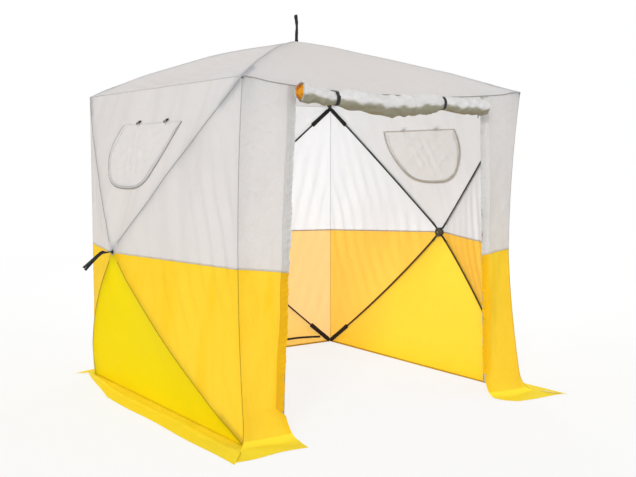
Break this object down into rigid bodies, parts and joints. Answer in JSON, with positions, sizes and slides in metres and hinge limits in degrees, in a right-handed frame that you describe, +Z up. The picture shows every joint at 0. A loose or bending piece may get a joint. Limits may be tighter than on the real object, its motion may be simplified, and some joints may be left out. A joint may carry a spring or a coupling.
{
  "type": "pop-up work tent",
  "caption": "Cube-shaped pop-up work tent: bulging hub panels of two-tone cloth on hinged poles, a rolled-up front door, flap windows and ground flaps.",
  "frame": {"origin": "on the ground, under the middle of the outline of the whole tent with its pull straps and ground flaps", "axes": "+Z up; the doorway faces -Y; +X to the right of someone who looks at the doorway along +Y"},
  "size_m": [2.6338, 2.3869, 2.1633],
  "materials": {
    "black_rod": "black pultruded glass fibre rod",
    "black_webbing": "woven black polyester webbing",
    "grey_cloth": "coated grey polyester cloth, soft sheen",
    "hub_plastic": "moulded dark olive grey nylon",
    "rolled_cloth": "the same grey cloth seen on its rolled, creased side",
    "window_film": "clear flexible film",
    "yellow_cloth": "coated bright yellow polyester cloth",
    "zip_metal": "die-cast zip slider",
    "zip_tape": "woven grey zip tape"
  },
  "bodies": {
    "cover": {"canopy": "grey_cloth", "left_wall_upper": "grey_cloth", "left_wall_lower": "yellow_cloth", "right_wall_upper": "grey_cloth", "right_wall_lower": "yellow_cloth", "back_wall_upper": "grey_cloth", "back_wall_lower": "yellow_cloth", "front_left_jamb_upper": "grey_cloth", "front_left_jamb_lower": "yellow_cloth", "front_right_jamb_upper": "grey_cloth", "front_right_jamb_lower": "yellow_cloth", "door_roll": "rolled_cloth", "door_roll_strap_left": "black_webbing", "door_roll_strap_right": "black_webbing", "left_door_zip": "zip_tape", "right_door_zip": "zip_tape", "back_base_strap": "black_webbing"},
    "roof_hub": {"roof_hub": "hub_plastic", "roof_hub_cap": "hub_plastic"},
    "roof_pole_front_left": {"roof_pole_front_left": "black_rod"},
    "roof_pole_front_right": {"roof_pole_front_right": "black_rod"},
    "roof_pole_back_left": {"roof_pole_back_left": "black_rod"},
    "roof_pole_back_right": {"roof_pole_back_right": "black_rod"},
    "roof_pull_strap": {"roof_pull_strap": "black_webbing"},
    "left_hub": {"left_hub": "hub_plastic", "left_hub_cap": "hub_plastic"},
    "left_pole_lower_front": {"left_pole_lower_front": "black_rod"},
    "left_pole_lower_rear": {"left_pole_lower_rear": "black_rod"},
    "left_pole_upper_front": {"left_pole_upper_front": "black_rod"},
    "left_pole_upper_rear": {"left_pole_upper_rear": "black_rod"},
    "left_pull_strap": {"left_pull_strap": "black_webbing"},
    "right_hub": {"right_hub": "hub_plastic", "right_hub_cap": "hub_plastic"},
    "right_pole_lower_front": {"right_pole_lower_front": "black_rod"},
    "right_pole_lower_rear": {"right_pole_lower_rear": "black_rod"},
    "right_pole_upper_front": {"right_pole_upper_front": "black_rod"},
    "right_pole_upper_rear": {"right_pole_upper_rear": "black_rod"},
    "right_pull_strap": {"right_pull_strap": "black_webbing"},
    "back_hub": {"back_hub": "hub_plastic", "back_hub_cap": "hub_plastic"},
    "back_pole_lower_left": {"back_pole_lower_left": "black_rod"},
    "back_pole_lower_right": {"back_pole_lower_right": "black_rod"},
    "back_pole_upper_left": {"back_pole_upper_left": "black_rod"},
    "back_pole_upper_right": {"back_pole_upper_right": "black_rod"},
    "back_pull_strap": {"back_pull_strap": "black_webbing"},
    "left_window": {"left_window_film": "window_film", "left_window_toggle_front": "black_webbing", "left_window_toggle_rear": "black_webbing"},
    "left_flap": {"left_window_flap": "grey_cloth"},
    "right_window": {"right_window_film": "window_film", "right_window_toggle_front": "black_webbing", "right_window_toggle_rear": "black_webbing"},
    "right_flap": {"right_window_flap": "grey_cloth"},
    "left_skirt": {"left_skirt": "yellow_cloth"},
    "right_skirt": {"right_skirt": "yellow_cloth"},
    "back_skirt": {"back_skirt": "yellow_cloth"},
    "front_left_skirt": {"front_left_skirt": "yellow_cloth"},
    "front_right_skirt": {"front_right_skirt": "yellow_cloth"},
    "left_slider": {"left_zip_slider": "zip_metal"},
    "right_slider": {"right_zip_slider": "zip_metal"}
  },
  "joints": [
    {"name": "roof_pop", "type": "slide", "parent": "cover", "child": "roof_hub", "axis": [0, 0, -1], "range_m": [0, 0.6], "deforming": ["canopy"]},
    {"name": "roof_pole_front_left_pivot", "type": "hinge", "parent": "roof_hub", "child": "roof_pole_front_left", "pos_m": [-0.01414, -0.13864, 1.987], "axis": [-0.7071, 0.7071, 0], "range_deg": [0, 28.48]},
    {"name": "roof_pole_front_right_pivot", "type": "hinge", "parent": "roof_hub", "child": "roof_pole_front_right", "pos_m": [0.01414, -0.13864, 1.987], "axis": [-0.7071, -0.7071, 0], "range_deg": [0, 28.48]},
    {"name": "roof_pole_back_left_pivot", "type": "hinge", "parent": "roof_hub", "child": "roof_pole_back_left", "pos_m": [-0.01414, -0.11036, 1.987], "axis": [0.7071, 0.7071, 0], "range_deg": [0, 28.48]},
    {"name": "roof_pole_back_right_pivot", "type": "hinge", "parent": "roof_hub", "child": "roof_pole_back_right", "pos_m": [0.01414, -0.11036, 1.987], "axis": [0.7071, -0.7071, 0], "range_deg": [0, 28.48]},
    {"name": "roof_strap_swing", "type": "hinge", "parent": "roof_hub", "child": "roof_pull_strap", "pos_m": [0, -0.1245, 2.011], "axis": [1, 0, 0], "range_deg": [-75, 75]},
    {"name": "left_pop", "type": "slide", "parent": "cover", "child": "left_hub", "axis": [1, 0, 0], "range_m": [0, 0.5], "deforming": ["left_wall_upper", "left_wall_lower", "front_left_jamb_upper", "front_left_jamb_lower"]},
    {"name": "left_pole_lower_front_pivot", "type": "hinge", "parent": "left_hub", "child": "left_pole_lower_front", "pos_m": [-1.135, -0.13904, 0.83607], "axis": [0, 0.6865, -0.7271], "range_deg": [0, 24.63]},
    {"name": "left_pole_lower_rear_pivot", "type": "hinge", "parent": "left_hub", "child": "left_pole_lower_rear", "pos_m": [-1.135, -0.10996, 0.83607], "axis": [0, 0.6865, 0.7271], "range_deg": [0, 24.63]},
    {"name": "left_pole_upper_front_pivot", "type": "hinge", "parent": "left_hub", "child": "left_pole_upper_front", "pos_m": [-1.135, -0.13904, 0.86353], "axis": [0, -0.6865, -0.7271], "range_deg": [0, 24.61]},
    {"name": "left_pole_upper_rear_pivot", "type": "hinge", "parent": "left_hub", "child": "left_pole_upper_rear", "pos_m": [-1.135, -0.10996, 0.86353], "axis": [0, -0.6865, 0.7271], "range_deg": [0, 24.61]},
    {"name": "left_strap_swing", "type": "hinge", "parent": "left_hub", "child": "left_pull_strap", "pos_m": [-1.159, -0.1245, 0.8498], "axis": [0, -1, 0], "range_deg": [-60, 70]},
    {"name": "right_pop", "type": "slide", "parent": "cover", "child": "right_hub", "axis": [-1, 0, 0], "range_m": [0, 0.5], "deforming": ["right_wall_upper", "right_wall_lower", "front_right_jamb_upper", "front_right_jamb_lower"]},
    {"name": "right_pole_lower_front_pivot", "type": "hinge", "parent": "right_hub", "child": "right_pole_lower_front", "pos_m": [1.135, -0.13904, 0.83607], "axis": [0, -0.6865, 0.7271], "range_deg": [0, 24.63]},
    {"name": "right_pole_lower_rear_pivot", "type": "hinge", "parent": "right_hub", "child": "right_pole_lower_rear", "pos_m": [1.135, -0.10996, 0.83607], "axis": [0, -0.6865, -0.7271], "range_deg": [0, 24.63]},
    {"name": "right_pole_upper_front_pivot", "type": "hinge", "parent": "right_hub", "child": "right_pole_upper_front", "pos_m": [1.135, -0.13904, 0.86353], "axis": [0, 0.6865, 0.7271], "range_deg": [0, 24.61]},
    {"name": "right_pole_upper_rear_pivot", "type": "hinge", "parent": "right_hub", "child": "right_pole_upper_rear", "pos_m": [1.135, -0.10996, 0.86353], "axis": [0, 0.6865, -0.7271], "range_deg": [0, 24.61]},
    {"name": "right_strap_swing", "type": "hinge", "parent": "right_hub", "child": "right_pull_strap", "pos_m": [1.159, -0.1245, 0.8498], "axis": [0, 1, 0], "range_deg": [-60, 70]},
    {"name": "back_pop", "type": "slide", "parent": "cover", "child": "back_hub", "axis": [0, -1, 0], "range_m": [0, 0.5], "deforming": ["back_wall_upper", "back_wall_lower"]},
    {"name": "back_pole_lower_left_pivot", "type": "hinge", "parent": "back_hub", "child": "back_pole_lower_left", "pos_m": [-0.01454, 1.0105, 0.83607], "axis": [0.6865, 0, -0.7271], "range_deg": [0, 24.63]},
    {"name": "back_pole_lower_right_pivot", "type": "hinge", "parent": "back_hub", "child": "back_pole_lower_right", "pos_m": [0.01454, 1.0105, 0.83607], "axis": [0.6865, 0, 0.7271], "range_deg": [0, 24.63]},
    {"name": "back_pole_upper_left_pivot", "type": "hinge", "parent": "back_hub", "child": "back_pole_upper_left", "pos_m": [-0.01454, 1.0105, 0.86353], "axis": [-0.6865, 0, -0.7271], "range_deg": [0, 24.61]},
    {"name": "back_pole_upper_right_pivot", "type": "hinge", "parent": "back_hub", "child": "back_pole_upper_right", "pos_m": [0.01454, 1.0105, 0.86353], "axis": [-0.6865, 0, 0.7271], "range_deg": [0, 24.61]},
    {"name": "back_strap_swing", "type": "hinge", "parent": "back_hub", "child": "back_pull_strap", "pos_m": [0, 1.0345, 0.8498], "axis": [-1, 0, 0], "range_deg": [-60, 70]},
    {"name": "left_window_follow", "type": "hinge", "parent": "cover", "child": "left_window", "pos_m": [-0.9, -0.1245, 1.6996], "axis": [0, -1, 0], "range_deg": [0, 33.29]},
    {"name": "left_flap_lift", "type": "hinge", "parent": "left_window", "child": "left_flap", "pos_m": [-0.96064, -0.1245, 1.51], "axis": [0, 1, 0], "range_deg": [0, 120]},
    {"name": "right_window_follow", "type": "hinge", "parent": "cover", "child": "right_window", "pos_m": [0.9, -0.1245, 1.6996], "axis": [0, 1, 0], "range_deg": [0, 33.29]},
    {"name": "right_flap_lift", "type": "hinge", "parent": "right_window", "child": "right_flap", "pos_m": [0.96064, -0.1245, 1.51], "axis": [0, -1, 0], "range_deg": [0, 120]},
    {"name": "left_skirt_lift", "type": "hinge", "parent": "cover", "child": "left_skirt", "pos_m": [-0.9015, -0.1245, 0.001], "axis": [0, 1, 0], "range_deg": [0, 65]},
    {"name": "right_skirt_lift", "type": "hinge", "parent": "cover", "child": "right_skirt", "pos_m": [0.9015, -0.1245, 0.001], "axis": [0, -1, 0], "range_deg": [0, 65]},
    {"name": "back_skirt_lift", "type": "hinge", "parent": "cover", "child": "back_skirt", "pos_m": [0, 0.777, 0.001], "axis": [1, 0, 0], "range_deg": [0, 65]},
    {"name": "front_left_skirt_lift", "type": "hinge", "parent": "cover", "child": "front_left_skirt", "pos_m": [-0.9, -1.026, 0.001], "axis": [-1, 0, 0], "range_deg": [0, 65]},
    {"name": "front_right_skirt_lift", "type": "hinge", "parent": "cover", "child": "front_right_skirt", "pos_m": [0.9, -1.026, 0.001], "axis": [-1, 0, 0], "range_deg": [0, 65]},
    {"name": "left_zip_slide", "type": "slide", "parent": "cover", "child": "left_slider", "axis": [-0.0347, 0, -0.9994], "range_m": [0, 1.49]},
    {"name": "right_zip_slide", "type": "slide", "parent": "cover", "child": "right_slider", "axis": [0.0347, 0, -0.9994], "range_m": [0, 1.49]}
  ],
  "couplings": [
    {"joint": "roof_pole_front_left_pivot", "follows": "roof_pop", "rad_per_m": 0.8139},
    {"joint": "roof_pole_front_right_pivot", "follows": "roof_pop", "rad_per_m": 0.8139},
    {"joint": "roof_pole_back_left_pivot", "follows": "roof_pop", "rad_per_m": 0.8139},
    {"joint": "roof_pole_back_right_pivot", "follows": "roof_pop", "rad_per_m": 0.8139},
    {"joint": "left_pole_lower_front_pivot", "follows": "left_pop", "rad_per_m": 0.84235},
    {"joint": "left_pole_lower_rear_pivot", "follows": "left_pop", "rad_per_m": 0.84235},
    {"joint": "left_pole_upper_front_pivot", "follows": "left_pop", "rad_per_m": 0.84166},
    {"joint": "left_pole_upper_rear_pivot", "follows": "left_pop", "rad_per_m": 0.84166},
    {"joint": "right_pole_lower_front_pivot", "follows": "right_pop", "rad_per_m": 0.84235},
    {"joint": "right_pole_lower_rear_pivot", "follows": "right_pop", "rad_per_m": 0.84235},
    {"joint": "right_pole_upper_front_pivot", "follows": "right_pop", "rad_per_m": 0.84166},
    {"joint": "right_pole_upper_rear_pivot", "follows": "right_pop", "rad_per_m": 0.84166},
    {"joint": "back_pole_lower_left_pivot", "follows": "back_pop", "rad_per_m": 0.84235},
    {"joint": "back_pole_lower_right_pivot", "follows": "back_pop", "rad_per_m": 0.84235},
    {"joint": "back_pole_upper_left_pivot", "follows": "back_pop", "rad_per_m": 0.84166},
    {"joint": "back_pole_upper_right_pivot", "follows": "back_pop", "rad_per_m": 0.84166},
    {"joint": "left_window_follow", "follows": "left_pop", "rad_per_m": 1.1445},
    {"joint": "right_window_follow", "follows": "right_pop", "rad_per_m": 1.1445}
  ]
}
